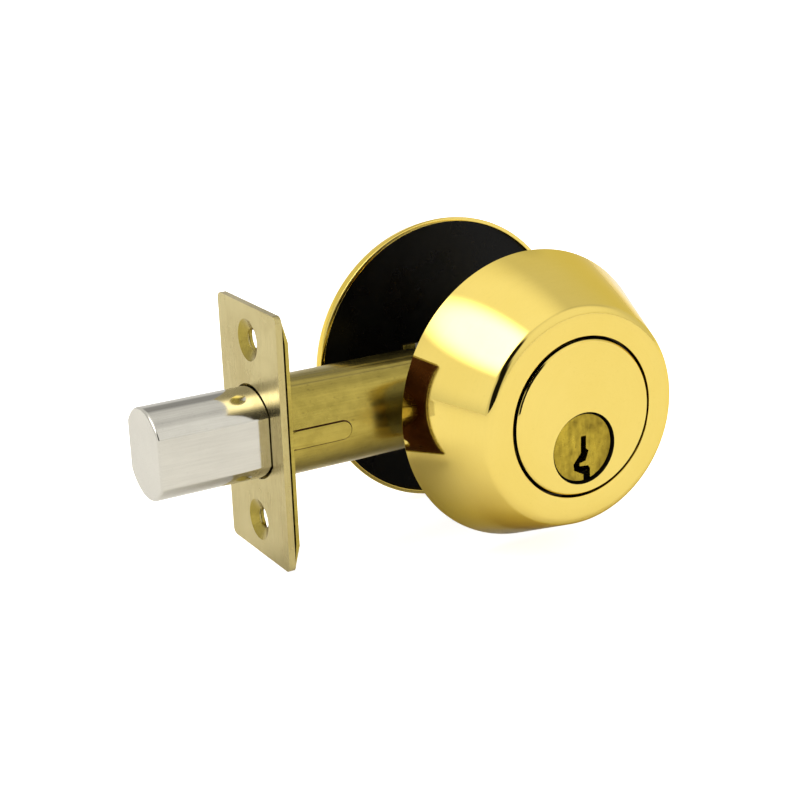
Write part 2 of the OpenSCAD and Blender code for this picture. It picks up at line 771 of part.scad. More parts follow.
module rosette() {
    w = rosette_wall;
    q = rosette_round;
    cr = rosette_r - q;
    flat_r = cr - rosette_crown_run;
    outer = concat([[rosette_r, half_door]],
        arc_points(cr, rosette_arc_y, q, 0, rosette_arc_end, rosette_arc_steps),
        [[flat_r, trim_y1], [0, trim_y1]]);
    inner = concat([[0, trim_under_y], [flat_r, trim_under_y]],
        arc_points(cr, rosette_arc_y, q - w, rosette_arc_end, 0, rosette_arc_steps),
        [[rosette_r - w, half_door]]);
    color("gold") difference() {
        revolve_y(axis_z) polygon(concat(outer, inner));
        cyl_y(spindle_r + run_clear, trim_under_y - over, trim_y1 + over, cz = plug_z);
        at_screws() cyl_y(screw_hole_r, trim_under_y - over, trim_y1 + over);
    }
}

module mounting_plate() {
    color("black") difference() {
        cyl_y(mount_plate_r, mount_y0, mount_y1, cz = axis_z);
        cyl_y(spindle_r + spindle_plate_gap, mount_y0 - over, mount_y1 + over, cz = plug_z);
        at_screws() cyl_y(screw_hole_r, mount_y0 - over, mount_y1 + over);
    }
}

module mounting_screws() {
    slot_y0 = trim_y1 + screw_slot_floor;
    slot_y1 = trim_y1 + screw_head_h + over;
    color("gold") at_screws() difference() {
        union() {
            cyl_y(screw_r, screw_tip_y, trim_y1 + eps);
            translate([0, trim_y1, 0]) rotate([-90, 0, 0])
                cylinder(r1 = screw_head_d / 2, r2 = screw_head_d / 2 - screw_head_slope, h = screw_head_h);
        }
        block(-screw_slot_w / 2, screw_slot_w / 2, slot_y0, slot_y1, -screw_head_d, screw_head_d);
        block(-screw_head_d / 3, screw_head_d / 3, slot_y0, slot_y1,
            -screw_slot_w / 2, screw_slot_w / 2);
    }
}

module thumbturn_washer() {
    color("silver") difference() {
        cyl_y(spindle_r + washer_rim, washer_y0, washer_y0 + washer_t, cz = plug_z);
        cyl_y(spindle_r + washer_gap, washer_y0 - over, washer_y0 + washer_t + over, cz = plug_z);
    }
}

module thumbturn_clip() {
    color("dimgray") translate([0, 0, plug_z]) difference() {
        cyl_y(spindle_r + clip_rim, clip_y0, clip_y1);
        cyl_y(clip_groove_r, clip_y0 - over, clip_y1 + over);
        block(-clip_groove_r * 0.7, clip_groove_r * 0.7, clip_y0 - over, clip_y1 + over,
            -2 * spindle_d, 0);
    }
}

module thumbturn_spindle() {
    color("silver") translate([0, 0, plug_z]) difference() {
        union() {
            cyl_y(spindle_r, spindle_y0, turn_y0);
            cyl_y(spindle_stud_d / 2, turn_y0 - over, spindle_y1);
        }
        difference() {
            cyl_y(spindle_r + over, clip_y0, clip_y1);
            cyl_y(clip_groove_r, clip_y0 - over, clip_y1 + over);
        }
        along_y(spindle_y0 - over, blade_y1 + blade_bore_gap) blade_slot_outline(blade_play);
    }
}

module thumbturn() {
    color("gold") translate([0, 0, plug_z]) difference() {
        union() {
            revolve_y(0) polygon([[0, turn_y0], [turn_base_d / 2, turn_y0],
                [turn_base_d / 2, turn_y0 + turn_base_t - turn_base_chamfer],
                [turn_base_d / 2 - turn_base_chamfer, turn_y0 + turn_base_t],
                [0, turn_y0 + turn_base_t]]);
            intersection() {
                along_y(turn_y0 + turn_base_t - grip_root, turn_y1) stadium(grip_len, grip_t);
                translate([0, turn_y1 - grip_crown_r, 0])
                    cylinder(r = grip_crown_r, h = 2 * grip_t, center = true);
                revolve_y(0) polygon([[0, turn_y0], [grip_len / 2 - grip_taper, turn_y0],
                    [grip_len / 2, turn_y0 + grip_taper_h], [grip_len / 2, turn_y1 + over],
                    [0, turn_y1 + over]]);
            }
        }
        cyl_y(spindle_stud_d / 2, turn_y0 - over, spindle_y1);
    }
}

guard_shell();
guard_insert();
cylinder_housing();
pin_chamber_cap();
key_plug();
plug_cap();
tailpiece();
crank();
crank_pin();
bolt();
bolt_core_pin();
bolt_tail();
tail_rivets();
bolt_tube();
tube_end_plate();
face_plate();
backing_plate();
case_plate_outer();
case_plate_inner();
case_rivets();
detent_spring();
rosette();
mounting_plate();
mounting_screws();
thumbturn_washer();
thumbturn_clip();
thumbturn_spindle();
thumbturn();
for (i = [1:TUMBLERS]) bottom_pin(i);
for (i = [1:TUMBLERS]) driver_pin(i);
for (i = [1:TUMBLERS]) pin_spring(i);
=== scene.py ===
"""Looks of a tubular deadbolt: brass trims, nickel bolt and the works between them.

Sizes are in millimetres and become metres through MM. Places come from the frame's boxes.
"""
import json
import math

import bmesh
import bpy
from mathutils import Matrix, Vector


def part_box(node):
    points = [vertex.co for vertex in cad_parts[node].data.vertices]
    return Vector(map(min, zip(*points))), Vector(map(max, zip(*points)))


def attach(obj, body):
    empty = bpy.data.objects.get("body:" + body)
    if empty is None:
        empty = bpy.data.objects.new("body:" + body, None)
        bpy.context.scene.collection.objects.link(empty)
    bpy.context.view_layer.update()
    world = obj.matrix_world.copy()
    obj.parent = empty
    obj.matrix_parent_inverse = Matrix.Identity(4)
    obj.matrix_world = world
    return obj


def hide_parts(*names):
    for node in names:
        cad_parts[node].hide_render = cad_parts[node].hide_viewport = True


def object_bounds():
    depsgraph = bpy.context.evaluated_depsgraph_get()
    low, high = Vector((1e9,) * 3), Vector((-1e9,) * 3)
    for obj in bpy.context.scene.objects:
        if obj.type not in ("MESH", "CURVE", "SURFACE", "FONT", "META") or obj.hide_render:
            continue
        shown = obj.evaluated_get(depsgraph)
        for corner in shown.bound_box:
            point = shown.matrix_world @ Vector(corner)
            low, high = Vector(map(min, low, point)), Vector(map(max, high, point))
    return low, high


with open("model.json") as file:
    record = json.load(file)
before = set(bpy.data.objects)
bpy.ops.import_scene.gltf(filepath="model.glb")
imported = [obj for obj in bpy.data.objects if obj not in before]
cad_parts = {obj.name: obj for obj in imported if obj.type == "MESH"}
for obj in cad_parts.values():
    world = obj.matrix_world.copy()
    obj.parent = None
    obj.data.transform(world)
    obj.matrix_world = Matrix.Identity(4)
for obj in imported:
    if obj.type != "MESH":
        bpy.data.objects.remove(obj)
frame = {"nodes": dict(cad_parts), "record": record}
cad_low, cad_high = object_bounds()

MM = 0.001


# ---------------------------------------------------------------- places from the frame

def box_mm(node):
    """The two corners of a node's box, in millimetres."""
    low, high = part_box(node)
    return [c / MM for c in low], [c / MM for c in high]


GUARD_LOW, GUARD_HIGH = box_mm("guard_shell")
HEAD_LOW, HEAD_HIGH = box_mm("cylinder_housing")
PLUG_LOW, PLUG_HIGH = box_mm("key_plug")
BOLT_LOW, BOLT_HIGH = box_mm("bolt")
PLATE_LOW, PLATE_HIGH = box_mm("face_plate")
BACK_LOW, BACK_HIGH = box_mm("backing_plate")
ROSE_LOW, ROSE_HIGH = box_mm("rosette")
TUBE_R = box_mm("bolt_tube")[1][2]

AXIS_Z = (GUARD_LOW[2] + GUARD_HIGH[2]) / 2
PLUG_Z = (PLUG_LOW[2] + PLUG_HIGH[2]) / 2
PLUG_R = (PLUG_HIGH[0] - PLUG_LOW[0]) / 2
SCREW_Z = 41.275 / 2  # height of the face plate's screws above and below the bolt's axis

BODIES = frame["record"]["behaviour"]["bodies"]
HOME = {node: body for body, nodes in BODIES.items() for node in nodes}


# ---------------------------------------------------------------- modelling helpers

NEAR = 1e-4  # vertices closer than this, in millimetres, are at the same spot
SMALL_ROUNDING, FINE_SEGMENTS, BROAD_SEGMENTS = 0.5, 3, 10
SAME_SPOT_TURNED, SAME_SPOT_COPIED = 0.002, 0.001  # merging distances
FLAT_ANGLE = 0.4  # triangles that meet at less than this many degrees become one face
SMOOTH_ANGLE = 32
TRIM_SMOOTH_ANGLE = 35
PAST = 1  # how far a cutter reaches past the metal it cuts


def choose(piece):
    """Makes a piece the only selected object, and the active one."""
    bpy.ops.object.select_all(action="DESELECT")
    piece.select_set(True)
    bpy.context.view_layer.objects.active = piece


def start_mesh(name):
    """A new object in edit mode that holds one vertex at the origin."""
    bpy.ops.object.select_all(action="DESELECT")
    bpy.ops.mesh.primitive_plane_add(size=MM, location=(0, 0, 0))
    piece = bpy.context.object
    piece.name = name
    bpy.ops.object.mode_set(mode="EDIT")
    bpy.ops.mesh.select_mode(type="VERT")
    bpy.ops.mesh.select_all(action="SELECT")
    bpy.ops.mesh.merge(type="CENTER")
    return piece


def select_verts(piece, wanted):
    """Selects the vertices whose place, in millimetres, passes a test."""
    bpy.ops.mesh.select_mode(type="VERT")
    mesh = bmesh.from_edit_mesh(piece.data)
    for vert in mesh.verts:
        vert.select = bool(wanted(vert.co / MM))
    mesh.select_flush_mode()
    bmesh.update_edit_mesh(piece.data)


def select_edges(piece, wanted):
    """Selects the edges whose two ends, in millimetres, pass a test."""
    bpy.ops.mesh.select_mode(type="EDGE")
    mesh = bmesh.from_edit_mesh(piece.data)
    for edge in mesh.edges:
        edge.select = bool(wanted(edge.verts[0].co / MM, edge.verts[1].co / MM))
    mesh.select_flush_mode()
    bmesh.update_edit_mesh(piece.data)


def apply_modifiers(piece):
    """Applies a piece's modifiers in their order."""
    choose(piece)
    for modifier in list(piece.modifiers):
        bpy.ops.object.modifier_apply(modifier=modifier.name)


def settle(piece):
    """Puts the object at the origin with its place in its mesh."""
    choose(piece)
    bpy.ops.object.transform_apply(location=True, rotation=True, scale=True)


def turned(name, outline, axis_z, steps=256, closed=True):
    """Spins an outline of (radius, y, rounding) about an axis along Y at a height."""
    piece = start_mesh(name)
    place = Vector((0, 0, axis_z)) * MM
    corner = place
    for radius, y, _ in outline:
        target = Vector((radius, y, axis_z)) * MM
        if corner is place:
            bpy.ops.transform.translate(value=target)
        else:
            bpy.ops.mesh.extrude_region_move(TRANSFORM_OT_translate={"value": target - corner})
        corner = target
    if closed:
        first = Vector((outline[0][0], outline[0][1], axis_z))
        last = Vector((outline[-1][0], outline[-1][1], axis_z))
        select_verts(piece, lambda p: (p - first).length < NEAR or (p - last).length < NEAR)
        bpy.ops.mesh.edge_face_add()
    for radius, y, rounding in outline:
        if rounding:
            spot = Vector((radius, y, axis_z))
            select_verts(piece, lambda p: (p - spot).length < NEAR)
            segments = FINE_SEGMENTS if rounding < SMALL_ROUNDING else BROAD_SEGMENTS
            bpy.ops.mesh.bevel(offset=rounding * MM, segments=segments, affect="VERTICES")
    bpy.ops.mesh.select_all(action="SELECT")
    bpy.ops.mesh.spin(steps=steps, angle=math.tau, center=place, axis=(0, 1, 0))
    bpy.ops.mesh.select_all(action="SELECT")
    bpy.ops.mesh.remove_doubles(threshold=SAME_SPOT_TURNED * MM)
    bpy.ops.mesh.normals_make_consistent(inside=False)
    bpy.ops.object.mode_set(mode="OBJECT")
    return piece


def rod(name, radius, start, end, sides=96, tip_radius=None):
    """A cylinder or cone from one point to another."""
    a, b = Vector(start) * MM, Vector(end) * MM
    way = b - a
    bpy.ops.object.select_all(action="DESELECT")
    bpy.ops.mesh.primitive_cone_add(
        vertices=sides, radius1=radius * MM,
        radius2=(radius if tip_radius is None else tip_radius) * MM,
        depth=way.length, location=(a + b) / 2, rotation=way.to_track_quat("Z", "Y").to_euler())
    piece = bpy.context.object
    piece.name = name
    settle(piece)
    return piece


def brick(name, low, high):
    """A box between two corners."""
    low, high = Vector(low) * MM, Vector(high) * MM
    bpy.ops.object.select_all(action="DESELECT")
    bpy.ops.mesh.primitive_cube_add(size=1, location=(low + high) / 2, scale=high - low)
    piece = bpy.context.object
    piece.name = name
    settle(piece)
    return piece


def combine(piece, other, operation):
    """Cuts another solid out of a piece, or joins it on, and removes the other."""
    modifier = piece.modifiers.new(operation.lower(), "BOOLEAN")
    modifier.operation = operation
    modifier.object = other
    modifier.solver = "EXACT"
    apply_modifiers(piece)
    bpy.data.objects.remove(other)
    return piece


def soften(piece, width, segments=2, angle=28):
    """Rounds every edge sharper than an angle, then evens the shading of flat faces."""
    bevel = piece.modifiers.new("edges", "BEVEL")
    bevel.width = width * MM
    bevel.segments = segments
    bevel.limit_method = "ANGLE"
    bevel.angle_limit = math.radians(angle)
    bevel.use_clamp_overlap = True
    apply_modifiers(piece)
    bpy.ops.object.shade_smooth_by_angle(angle=math.radians(SMOOTH_ANGLE))
    even = piece.modifiers.new("normals", "WEIGHTED_NORMAL")
    even.keep_sharp = True
    even.weight = 80
    apply_modifiers(piece)
    return piece


def finished_copy(node, name, width, cutters=()):
    """A copy of a frame node, its triangles merged, cut by any cutters and its edges rounded."""
    source = frame["nodes"][node]
    piece = bpy.data.objects.new(name, source.data.copy())
    bpy.context.scene.collection.objects.link(piece)
    piece.data.materials.clear()
    choose(piece)
    if piece.data.has_custom_normals:
        bpy.ops.mesh.customdata_custom_splitnormals_clear()
    bpy.ops.object.mode_set(mode="EDIT")
    bpy.ops.mesh.select_all(action="SELECT")
    bpy.ops.mesh.remove_doubles(threshold=SAME_SPOT_COPIED * MM)
    bpy.ops.mesh.dissolve_limited(angle_limit=math.radians(FLAT_ANGLE))
    bpy.ops.object.mode_set(mode="OBJECT")
    for cutter in cutters:
        combine(piece, cutter, "DIFFERENCE")
    soften(piece, width)
    return piece


def adopt(piece, body, nodes, material):
    """Names the body a piece rides on, the nodes it stands for, and its finish."""
    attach(piece, body)
    if nodes:
        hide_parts(*nodes)
    piece.data.materials.clear()
    piece.data.materials.append(material)


def face_finish(piece, material, wanted):
    """Gives a second finish to the faces whose middle (in millimetres) and normal pass a test."""
    piece.data.materials.append(material)
    for face in piece.data.polygons:
        if wanted(face.center / MM, face.normal):
            face.material_index = len(piece.data.materials) - 1


# ---------------------------------------------------------------- shader groups

NOISE_ROUGHNESS = 0.55
PATCH_SCALE = 0.12  # how much coarser the patches are than the scratches
RIPPLE_SCALE = 1.7  # how much finer the ripple is than the clouds
RING_TURN = 0.0012  # how far a grain in rings changes over one radian, in metres


def group(name, inputs, outputs):
    """A new shader group with its sockets, and the two nodes that stand for them."""
    tree = bpy.data.node_groups.new(name, "ShaderNodeTree")
    for label, kind, value in inputs:
        socket = tree.interface.new_socket(name=label, in_out="INPUT", socket_type=kind)
        if value is not None:
            socket.default_value = value
    for label, kind in outputs:
        tree.interface.new_socket(name=label, in_out="OUTPUT", socket_type=kind)
    return tree, tree.nodes.new("NodeGroupInput"), tree.nodes.new("NodeGroupOutput")


def add(tree, kind, **values):
    """A new node with its settings."""
    node = tree.nodes.new(kind)
    for key, value in values.items():
        setattr(node, key, value)
    return node


def math_node(tree, operation, a, b=None, clamp=False):
    """The result of one sum; each of its terms is a number or another node's output."""
    node = add(tree, "ShaderNodeMath", operation=operation, use_clamp=clamp)
    for socket, value in zip(node.inputs, (a, b)):
        if value is None:
            continue
        if isinstance(value, (int, float)):
            socket.default_value = value
        else:
            tree.links.new(value, socket)
    return node.outputs[0]


def noise(tree, vector, scale, detail=4):
    """Noise whose scale is a number or another node's output."""
    node = add(tree, "ShaderNodeTexNoise", noise_dimensions="3D")
    node.inputs["Detail"].default_value = detail
    node.inputs["Roughness"].default_value = NOISE_ROUGHNESS
    tree.links.new(vector, node.inputs["Vector"])
    if isinstance(scale, (int, float)):
        node.inputs["Scale"].default_value = scale
    else:
        tree.links.new(scale, node.inputs["Scale"])
    return node.outputs["Fac"]


def spread(tree, value, low, high):
    """Stretches the middle of a noise to the whole of 0 to 1."""
    node = add(tree, "ShaderNodeMapRange", clamp=True)
    node.inputs["From Min"].default_value = low
    node.inputs["From Max"].default_value = high
    tree.links.new(value, node.inputs["Value"])
    return node.outputs["Result"]


def grain_group():
    """Fine parallel scratches: noise stretched along one direction."""
    tree, given, result = group(
        "Brushed grain",
        [("Vector", "NodeSocketVector", None), ("Scale", "NodeSocketFloat", 900.0)],
        [("Lines", "NodeSocketFloat"), ("Patches", "NodeSocketFloat")])
    lines = noise(tree, given.outputs["Vector"], given.outputs["Scale"], detail=3)
    broad = math_node(tree, "MULTIPLY", given.outputs["Scale"], PATCH_SCALE)
    patches = noise(tree, given.outputs["Vector"], broad, detail=5)
    tree.links.new(spread(tree, lines, 0.3, 0.7), result.inputs["Lines"])
    tree.links.new(spread(tree, patches, 0.3, 0.7), result.inputs["Patches"])
    return tree


def tarnish_group():
    """Cloudy discolouring, small specks and smudges that change the gloss."""
    tree, given, result = group(
        "Tarnish and smudges",
        [("Vector", "NodeSocketVector", None), ("Cloud size", "NodeSocketFloat", 60.0),
         ("Speck size", "NodeSocketFloat", 1400.0)],
        [("Clouds", "NodeSocketFloat"), ("Specks", "NodeSocketFloat"),
         ("Ripple", "NodeSocketFloat")])
    clouds = noise(tree, given.outputs["Vector"], given.outputs["Cloud size"], detail=6)
    specks = noise(tree, given.outputs["Vector"], given.outputs["Speck size"], detail=2)
    swell = math_node(tree, "MULTIPLY", given.outputs["Cloud size"], RIPPLE_SCALE)
    ripple = noise(tree, given.outputs["Vector"], swell, detail=1)
    tree.links.new(spread(tree, clouds, 0.35, 0.68), result.inputs["Clouds"])
    tree.links.new(spread(tree, specks, 0.62, 0.78), result.inputs["Specks"])
    tree.links.new(ripple, result.inputs["Ripple"])
    return tree


def edge_group():
    """Where edges are rubbed brighter: the wear mask from the surface's own pointiness."""
    tree, given, result = group(
        "Rubbed edges",
        [("Vector", "NodeSocketVector", None)],
        [("Rub", "NodeSocketFloat")])
    shape = add(tree, "ShaderNodeNewGeometry")
    crest = spread(tree, shape.outputs["Pointiness"], 0.52, 0.58)
    broken = spread(tree, noise(tree, given.outputs["Vector"], 420, detail=4), 0.35, 0.65)
    tree.links.new(math_node(tree, "MULTIPLY", crest, broken), result.inputs["Rub"])
    return tree


GRAIN = grain_group()
TARNISH = tarnish_group()
EDGES = edge_group()


def placed_coordinates(tree, stretch, turned_axis=None):
    """Object coordinates, squeezed so that a grain runs along the axis with the small factor.

    With turned_axis, the grain runs in rings about that axis instead.
    """
    coords = add(tree, "ShaderNodeTexCoord").outputs["Object"]
    if turned_axis is not None:
        centre = add(tree, "ShaderNodeVectorMath", operation="SUBTRACT")
        tree.links.new(coords, centre.inputs[0])
        centre.inputs[1].default_value = turned_axis
        split = add(tree, "ShaderNodeSeparateXYZ")
        tree.links.new(centre.outputs[0], split.inputs[0])
        xx = math_node(tree, "MULTIPLY", split.outputs["X"], split.outputs["X"])
        zz = math_node(tree, "MULTIPLY", split.outputs["Z"], split.outputs["Z"])
        radius = math_node(tree, "SQRT", math_node(tree, "ADD", xx, zz))
        joined = add(tree, "ShaderNodeCombineXYZ")
        tree.links.new(radius, joined.inputs["X"])
        tree.links.new(split.outputs["Y"], joined.inputs["Y"])
        angle = math_node(tree, "ARCTAN2", split.outputs["Z"], split.outputs["X"])
        turn = math_node(tree, "MULTIPLY", angle, RING_TURN)
        tree.links.new(turn, joined.inputs["Z"])
        return coords, joined.outputs[0]
    scaled = add(tree, "ShaderNodeMapping")
    scaled.inputs["Scale"].default_value = stretch
    tree.links.new(coords, scaled.inputs["Vector"])
    return coords, scaled.outputs["Vector"]


def use_group(tree, source, vector, **values):
    """Places a shader group, with an underscore in a value's name for a space in the socket's."""
    node = add(tree, "ShaderNodeGroup", node_tree=source)
    tree.links.new(vector, node.inputs["Vector"])
    for label, value in values.items():
        node.inputs[label.replace("_", " ")].default_value = value
    return node


def mix_colour(tree, factor, a, b):
    """Mixes two colours, each a tuple or another node's output."""
    node = add(tree, "ShaderNodeMix", data_type="RGBA")
    tree.links.new(factor, node.inputs[0])
    for socket, value in ((node.inputs[6], a), (node.inputs[7], b)):
        if isinstance(value, tuple):
            socket.default_value = (*value, 1)
        else:
            tree.links.new(value, socket)
    return node.outputs[2]


GRAIN_SHOWS = 0.35  # how much of the deep colour a scratch takes
RUB_SHOWS = 0.5  # how much brighter a rubbed edge is
CLOUD_SHARE, PATCH_SHARE = 0.55, 0.45  # what the roughness takes from clouds and from patches


def metal(name, bright, dull, deep, gloss, rough, grain, grain_depth, ripple_depth,
          stretch=(1, 1, 1), rings=None, cloud_size=60.0, scratch=0.5, specks=0.5,
          tint=(1.0, 1.0, 1.0)):
    """A metal with grain, tarnish clouds, specks and rubbed edges.

    bright, dull and deep are its colours; gloss and rough are the ends of its roughness.
    The two depths are in millimetres. The grain runs along the axis with the small stretch,
    or in rings about a point.
    """
    material = bpy.data.materials.new(name)
    material.use_nodes = True
    tree = material.node_tree
    shader = tree.nodes["Principled BSDF"]
    coords, along = placed_coordinates(tree, stretch, rings)
    lines = use_group(tree, GRAIN, along, Scale=grain)
    tarnish = use_group(tree, TARNISH, coords, Cloud_size=cloud_size)
    rub = use_group(tree, EDGES, coords)
    colour = mix_colour(tree, tarnish.outputs["Clouds"], bright, dull)
    faint = math_node(tree, "MULTIPLY", lines.outputs["Lines"], GRAIN_SHOWS * scratch)
    colour = mix_colour(tree, faint, colour, deep)
    spots = math_node(tree, "MULTIPLY", tarnish.outputs["Specks"], specks)
    colour = mix_colour(tree, spots, colour, deep)
    worn = math_node(tree, "MULTIPLY", rub.outputs["Rub"], RUB_SHOWS)
    colour = mix_colour(tree, worn, colour, bright)
    tree.links.new(colour, shader.inputs["Base Color"])
    mottled = math_node(tree, "MULTIPLY", tarnish.outputs["Clouds"], CLOUD_SHARE)
    streaks = math_node(tree, "MULTIPLY", lines.outputs["Patches"], PATCH_SHARE)
    blend = math_node(tree, "ADD", mottled, streaks, clamp=True)
    span = add(tree, "ShaderNodeMapRange", clamp=True)
    span.inputs["To Min"].default_value = gloss
    span.inputs["To Max"].default_value = rough
    tree.links.new(blend, span.inputs["Value"])
    tree.links.new(span.outputs["Result"], shader.inputs["Roughness"])
    shader.inputs["Metallic"].default_value = 1.0
    shader.inputs["Specular Tint"].default_value = (*tint, 1)
    fine = math_node(tree, "MULTIPLY", lines.outputs["Lines"], grain_depth)
    swell = math_node(tree, "MULTIPLY", tarnish.outputs["Ripple"], ripple_depth)
    bump = add(tree, "ShaderNodeBump")
    bump.inputs["Strength"].default_value = 1.0
    bump.inputs["Distance"].default_value = MM
    tree.links.new(math_node(tree, "ADD", fine, swell), bump.inputs["Height"])
    tree.links.new(bump.outputs["Normal"], shader.inputs["Normal"])
    return material


PAINT_SPECULAR = 0.12
DUST_SHOWS, SCUFF_SHOWS = 0.35, 0.6
PEEL_SCALE, PEEL_STRENGTH, PEEL_DEPTH = 1600, 0.5, 0.02


def painted(name, base, dust, gloss, rough):
    """A dark coat with orange peel, dust and a little scuffing."""
    material = bpy.data.materials.new(name)
    material.use_nodes = True
    tree = material.node_tree
    shader = tree.nodes["Principled BSDF"]
    shader.inputs["Specular IOR Level"].default_value = PAINT_SPECULAR
    coords, _ = placed_coordinates(tree, (1, 1, 1))
    tarnish = use_group(tree, TARNISH, coords, Cloud_size=90.0)
    rub = use_group(tree, EDGES, coords)
    dusty = math_node(tree, "MULTIPLY", tarnish.outputs["Clouds"], DUST_SHOWS)
    colour = mix_colour(tree, dusty, base, dust)
    scuffed = math_node(tree, "MULTIPLY", rub.outputs["Rub"], SCUFF_SHOWS)
    colour = mix_colour(tree, scuffed, colour, dust)
    tree.links.new(colour, shader.inputs["Base Color"])
    span = add(tree, "ShaderNodeMapRange", clamp=True)
    span.inputs["To Min"].default_value = gloss
    span.inputs["To Max"].default_value = rough
    tree.links.new(tarnish.outputs["Clouds"], span.inputs["Value"])
    tree.links.new(span.outputs["Result"], shader.inputs["Roughness"])
    peel = noise(tree, coords, PEEL_SCALE, detail=2)
    bump = add(tree, "ShaderNodeBump")
    bump.inputs["Strength"].default_value = PEEL_STRENGTH
    bump.inputs["Distance"].default_value = PEEL_DEPTH * MM
    tree.links.new(peel, bump.inputs["Height"])
    tree.links.new(bump.outputs["Normal"], shader.inputs["Normal"])
    return material


TRIM_AXIS = (0, 0, AXIS_Z * MM)
PLUG_AXIS = (0, 0, PLUG_Z * MM)
GOLD = (0.87, 0.68, 0.185)
GOLD_DULL = (0.85, 0.655, 0.165)
GOLD_DEEP = (0.45, 0.30, 0.05)
GOLD_TINT = (0.97, 0.84, 0.42)

polished = metal(
    "polished brass", GOLD, GOLD_DULL, GOLD_DEEP, 0.03, 0.07, grain=3000, rings=TRIM_AXIS,
    grain_depth=0.0002, ripple_depth=0.004, scratch=0.1, specks=0.08, tint=GOLD_TINT)
polished_turn = metal(
    "polished brass thumbturn", GOLD, GOLD_DULL, GOLD_DEEP, 0.06, 0.13, grain=2600,
    stretch=(1, 0.1, 1), grain_depth=0.0003, ripple_depth=0.004, scratch=0.1, specks=0.1,
    tint=GOLD_TINT)
plug_brass = metal(
    "worn plug brass", (0.58, 0.43, 0.05), (0.33, 0.23, 0.025), (0.05, 0.03, 0.006), 0.20, 0.42,
    grain=700, stretch=(1, 1, 0.3), grain_depth=0.006, ripple_depth=0.02, cloud_size=300,
    scratch=1.7)
plate_brass = metal(
    "satin plate brass", (0.60, 0.51, 0.235), (0.50, 0.41, 0.165), (0.27, 0.21, 0.07), 0.20, 0.32,
    grain=2600, stretch=(1, 1, 0.06), grain_depth=0.0012, ripple_depth=0.01, scratch=0.8)
tube_brass = metal(
    "dichromate tube brass", (0.52, 0.41, 0.09), (0.38, 0.30, 0.06), (0.13, 0.09, 0.02), 0.16, 0.30,
    grain=2000, stretch=(0.05, 1, 1), grain_depth=0.001, ripple_depth=0.02, cloud_size=90,
    scratch=0.8)
# Painted shade: near-black brass laid on the backing plate's rear and on the tube's crease walls.
rear_and_crease_shade = metal(
    "painted shade on backing rear and crease", (0.09, 0.035, 0.02), (0.045, 0.012, 0.01), (0.02, 0.004, 0.004),
    0.22, 0.4, grain=2000, stretch=(1, 1, 0.2), grain_depth=0.001, ripple_depth=0.02, scratch=0.8)
machined = metal(
    "machined brass", (0.66, 0.48, 0.16), (0.52, 0.36, 0.10), (0.25, 0.16, 0.04), 0.2, 0.34,
    grain=2600, rings=PLUG_AXIS, grain_depth=0.0015, ripple_depth=0.005, scratch=0.8)
nickel = metal(
    "satin nickel", (0.68, 0.66, 0.59), (0.60, 0.58, 0.52), (0.28, 0.26, 0.22), 0.06, 0.15,
    grain=2600, stretch=(0.05, 1, 1), grain_depth=0.0006, ripple_depth=0.01, scratch=0.4,
    specks=0.12)
zinc = metal(
    "zinc plated steel", (0.60, 0.60, 0.58), (0.48, 0.48, 0.47), (0.25, 0.25, 0.24), 0.25, 0.42,
    grain=1500, stretch=(1, 0.3, 1), grain_depth=0.002, ripple_depth=0.01, cloud_size=180)
# Blackened steel for the hard pin; the same black on the guard's insert is painted shade in the gap
# round the cylinder.
blackened_pin_and_gap_shade = metal(
    "blackened hard steel and painted gap shade", (0.10, 0.10, 0.11), (0.06, 0.06, 0.065), (0.02, 0.02, 0.02), 0.3, 0.5,
    grain=1500, rings=TRIM_AXIS, grain_depth=0.002, ripple_depth=0.01, cloud_size=140)
spring = metal(
    "bright spring steel", (0.55, 0.55, 0.55), (0.44, 0.44, 0.45), (0.2, 0.2, 0.2), 0.18, 0.3,
    grain=2400, stretch=(1, 0.2, 1), grain_depth=0.001, ripple_depth=0.004, cloud_size=240)
# Painted shade: a near-black coat for the walls of the gap round the plug, where shade falls.
plug_gap_shade = painted("painted shade in the plug gap", (0.004, 0.003, 0.001), (0.012, 0.008, 0.003), 0.5, 0.7)
black_paint = painted(
    "black stoved paint", (0.0015, 0.0015, 0.0015), (0.006, 0.0055, 0.0045), 0.24, 0.34)


# ---------------------------------------------------------------- outside trim

GUARD_FRONT_R, GUARD_WALL = 24.2, 1.6
GUARD_FRONT_ROUNDING = 1.5
GUARD_LIP, GUARD_LIP_R = 0.9, 29.3  # the inward lip at the rear: its depth and inner radius
HEAD_GAP = 0.7  # between the guard's hole and the cylinder


def guard_collar():
    """The free-spinning cone round the cylinder, with its flat front ring."""
    rear, front = GUARD_HIGH[1], GUARD_LOW[1]
    rear_r = (GUARD_HIGH[0] - GUARD_LOW[0]) / 2
    hole_r = (HEAD_HIGH[0] - HEAD_LOW[0]) / 2 + HEAD_GAP
    slope = (rear_r - GUARD_FRONT_R) / (rear - front)

    def inside_r(y):
        return GUARD_FRONT_R + (y - front) * slope - GUARD_WALL * math.hypot(1, slope)

    outline = [
        (hole_r, front, 0.18), (GUARD_FRONT_R, front, GUARD_FRONT_ROUNDING),
        (rear_r, rear, 0.15), (GUARD_LIP_R, rear, 0.1), (GUARD_LIP_R, rear - GUARD_LIP, 0.1),
        (inside_r(rear - GUARD_LIP), rear - GUARD_LIP, 0),
        (inside_r(front + GUARD_WALL), front + GUARD_WALL, 0), (hole_r, front + GUARD_WALL, 0)]
    piece = turned("guard_collar", outline, AXIS_Z)
    bpy.ops.object.shade_smooth_by_angle(angle=math.radians(TRIM_SMOOTH_ANGLE))
    adopt(piece, "guard", ["guard_shell"], polished)


